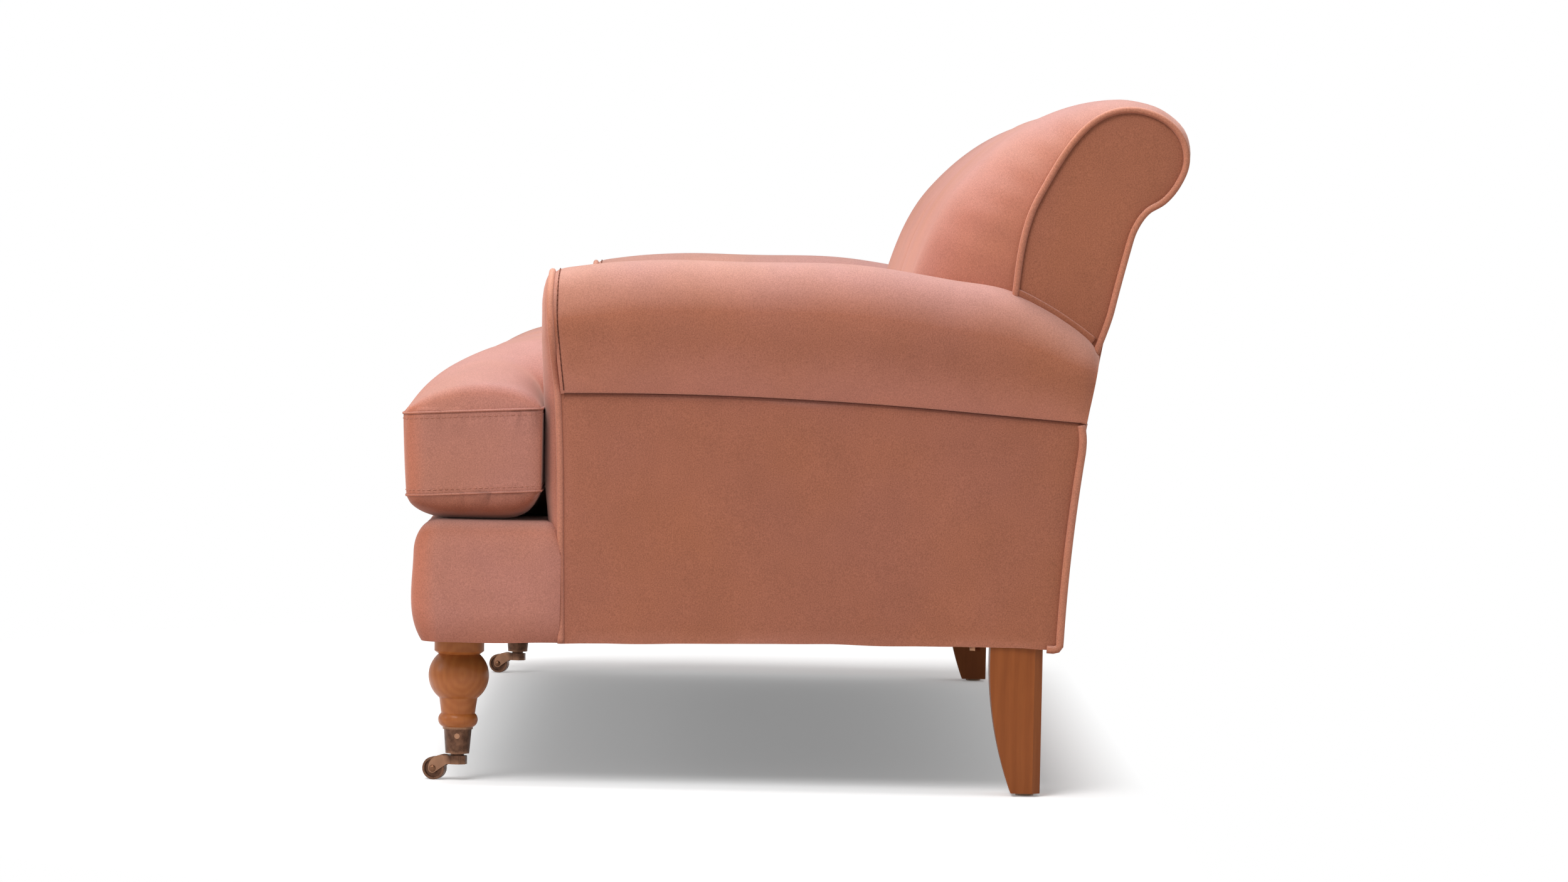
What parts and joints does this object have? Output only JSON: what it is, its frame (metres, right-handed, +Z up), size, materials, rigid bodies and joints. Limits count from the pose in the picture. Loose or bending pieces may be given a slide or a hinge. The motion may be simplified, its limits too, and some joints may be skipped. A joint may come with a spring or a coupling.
{
  "type": "lawson sofa",
  "caption": "Roll-arm sofa with a tight scroll back, loose T-shaped seat cushions, piped velvet upholstery, turned front legs on brass cup casters and sabre rear legs.",
  "frame": {"origin": "on the floor, under the middle of the overall box", "axes": "+X to the sitter's left along the width, -Y to the front, +Z up"},
  "size_m": [2.1302, 0.9801, 0.8784],
  "materials": {
    "velvet": "short-pile velvet",
    "piping": "velvet-covered cord",
    "cushion_fill": "fibre wrap",
    "deck_cloth": "plain weave",
    "dust_cloth": "non-woven",
    "webbing": "woven strap",
    "frame_wood": "raw hardwood",
    "leg_wood": "satin lacquer",
    "caster_brass": "antique",
    "screw_brass": "antique",
    "bolt_metal": "yellow plated",
    "steel": "plain",
    "glide_plastic": "satin"
  },
  "bodies": {
    "root": {"arm_facing_left": "velvet", "arm_facing_right": "velvet", "arm_front_post_left": "frame_wood", "arm_front_post_right": "frame_wood", "arm_front_welt_left": "piping", "arm_front_welt_right": "piping", "arm_roll_left": "velvet", "arm_roll_right": "velvet", "arm_top_rail_left": "frame_wood", "arm_top_rail_right": "frame_wood", "back_centre_post": "frame_wood", "back_end_panel_left": "velvet", "back_end_panel_right": "velvet", "back_end_welt_left": "piping", "back_end_welt_right": "piping", "back_lower_rail": "frame_wood", "back_post_left": "frame_wood", "back_post_right": "frame_wood", "back_top_rail": "frame_wood", "back_webbing": "webbing", "bolt_washers": "bolt_metal", "caster_screws": "screw_brass", "caster_socket_left": "caster_brass", "caster_socket_right": "caster_brass", "corner_blocks": "frame_wood", "cross_rails": "frame_wood", "deck_pad": "deck_cloth", "dust_cover": "dust_cloth", "frame_bolts": "bolt_metal", "front_border": "velvet", "front_leg_left": "leg_wood", "front_leg_right": "leg_wood", "front_rail": "frame_wood", "inside_back_pad_left": "velvet", "inside_back_pad_right": "velvet", "leg_studs": "steel", "outside_arm_panel_left": "velvet", "outside_arm_panel_right": "velvet", "outside_back_panel": "velvet", "rear_glides": "glide_plastic", "rear_leg_left": "leg_wood", "rear_leg_right": "leg_wood", "rear_rail": "frame_wood", "seat_springs": "steel", "side_rail_left": "frame_wood", "side_rail_right": "frame_wood", "spring_clips": "steel"},
    "caster_left": {"caster_horn_left": "caster_brass", "caster_axle_left": "caster_brass"},
    "wheel_left": {"caster_wheel_left": "caster_brass"},
    "cushion_left": {"seat_cushion_core_left": "cushion_fill", "seat_cushion_cover_left": "velvet"},
    "caster_right": {"caster_horn_right": "caster_brass", "caster_axle_right": "caster_brass"},
    "wheel_right": {"caster_wheel_right": "caster_brass"},
    "cushion_right": {"seat_cushion_core_right": "cushion_fill", "seat_cushion_cover_right": "velvet"}
  },
  "joints": [
    {"name": "caster_swivel_left", "type": "hinge", "parent": "root", "child": "caster_left", "pos_m": [0.95, -0.419, 0.03], "axis": [0, 0, 1], "continuous": true},
    {"name": "caster_roll_left", "type": "hinge", "parent": "caster_left", "child": "wheel_left", "pos_m": [0.94387, -0.44786, 0.0145], "axis": [0.9781, -0.2079, 0], "continuous": true},
    {"name": "cushion_lift_left", "type": "slide", "parent": "root", "child": "cushion_left", "axis": [0, 0, 1], "range_m": [0, 0.6]},
    {"name": "caster_swivel_right", "type": "hinge", "parent": "root", "child": "caster_right", "pos_m": [-0.95, -0.419, 0.03], "axis": [0, 0, 1], "continuous": true},
    {"name": "caster_roll_right", "type": "hinge", "parent": "caster_right", "child": "wheel_right", "pos_m": [-0.95613, -0.44786, 0.0145], "axis": [0.9781, -0.2079, 0], "continuous": true},
    {"name": "cushion_lift_right", "type": "slide", "parent": "root", "child": "cushion_right", "axis": [0, 0, 1], "range_m": [0, 0.6]}
  ]
}
